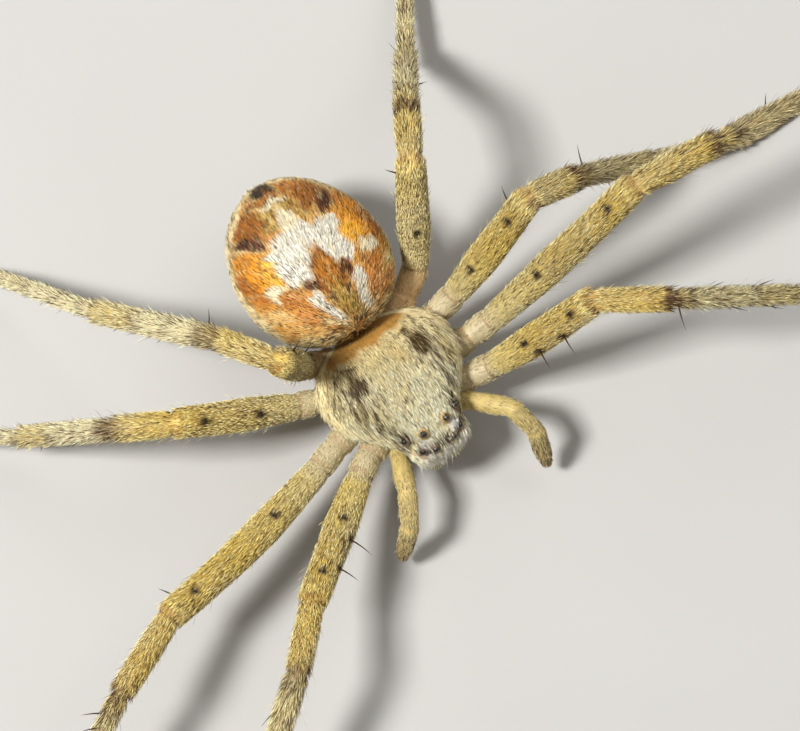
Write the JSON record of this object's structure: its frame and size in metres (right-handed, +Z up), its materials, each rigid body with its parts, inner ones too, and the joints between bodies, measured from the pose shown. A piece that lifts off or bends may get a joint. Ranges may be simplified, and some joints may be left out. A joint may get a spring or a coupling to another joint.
{
  "type": "halodromus running crab spider",
  "caption": "Still life-size running crab spider, flat body with a patterned egg-shaped abdomen and long hairy legs spread wide, standing on its feet.",
  "frame": {"origin": "on the floor under the middle of the spread legs", "axes": "+X to the spider's left, -Y towards its face, +Z up from the floor"},
  "size_m": [0.0288, 0.0158, 0.004],
  "materials": {
    "carapace": "cream cuticle under pale flat bristles",
    "abdomen": "orange, white and brown pattern under short bristles",
    "leg": "ochre cuticle under pale lying bristles",
    "eye": "glossy black lens"
  },
  "bodies": {
    "root": {"prosoma": "carapace", "abdomen": "abdomen", "chelicera_left": "carapace", "chelicera_right": "carapace", "palp_left": "leg", "palp_right": "leg", "leg_left_1": "leg", "leg_left_2": "leg", "leg_left_3": "leg", "leg_left_4": "leg", "leg_right_1": "leg", "leg_right_2": "leg", "leg_right_3": "leg", "leg_right_4": "leg", "eye_pme_left": "eye", "eye_pme_right": "eye", "eye_ple_left": "eye", "eye_ple_right": "eye", "eye_ame_left": "eye", "eye_ame_right": "eye", "eye_ale_left": "eye", "eye_ale_right": "eye"}
  },
  "joints": []
}
